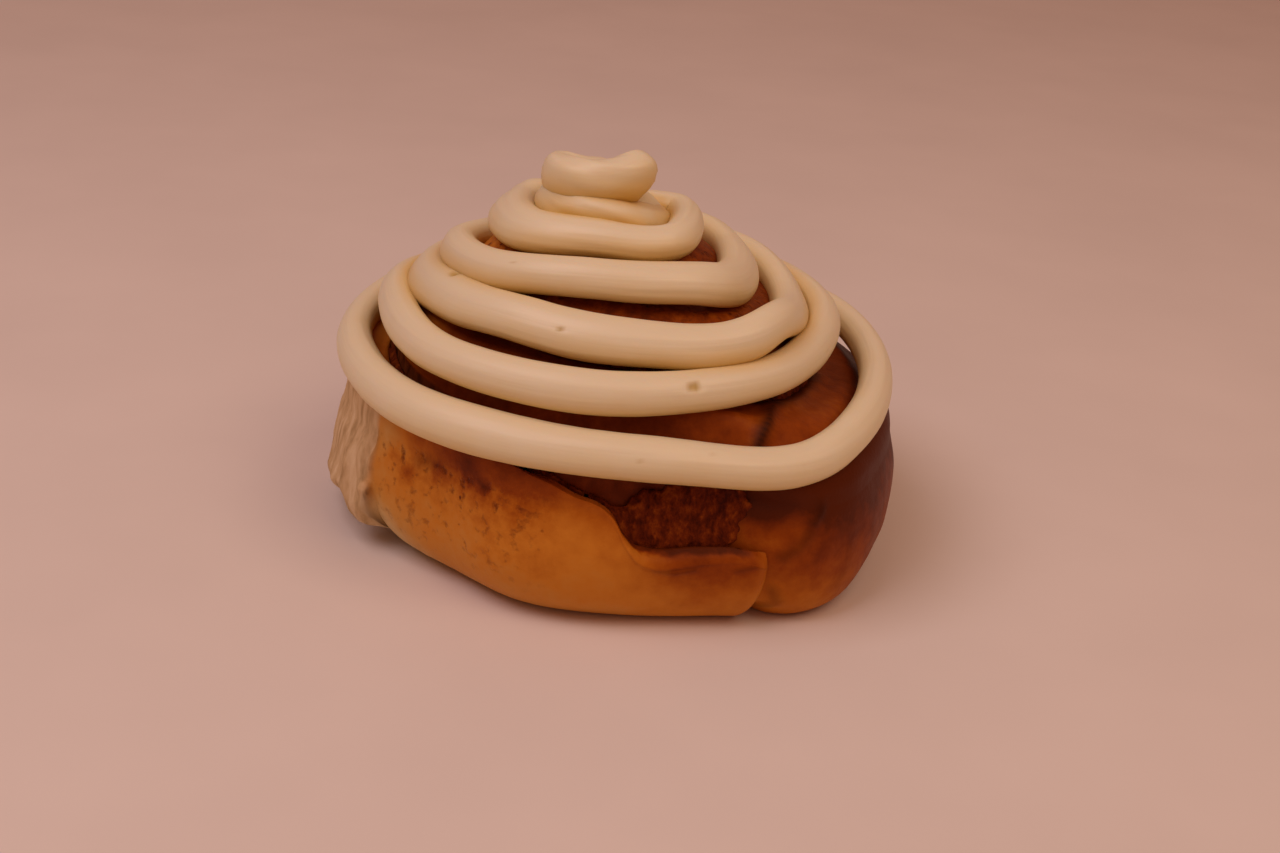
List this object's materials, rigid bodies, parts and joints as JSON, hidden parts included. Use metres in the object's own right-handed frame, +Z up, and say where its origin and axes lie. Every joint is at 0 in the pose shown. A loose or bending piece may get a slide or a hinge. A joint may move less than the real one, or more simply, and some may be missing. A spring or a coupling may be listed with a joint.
{
  "type": "cinnamon roll",
  "caption": "Iced cinnamon roll: a rolled strip of baked dough with filling in its seams and a rope of icing piped round and up it.",
  "frame": {"origin": "middle of the roll seen from above, on the surface that it stands on", "axes": "+X to the roll's right, +Z up, -Y towards the front, where the strip's outer end and the filling show"},
  "size_m": [0.107, 0.0948, 0.0737],
  "materials": {
    "baked_dough": "satin golden brown crust",
    "cinnamon_filling": "dull dark brown crumb",
    "icing": "satin cream"
  },
  "bodies": {
    "root": {"dough": "baked_dough", "filling": "cinnamon_filling", "icing": "icing"}
  },
  "joints": []
}
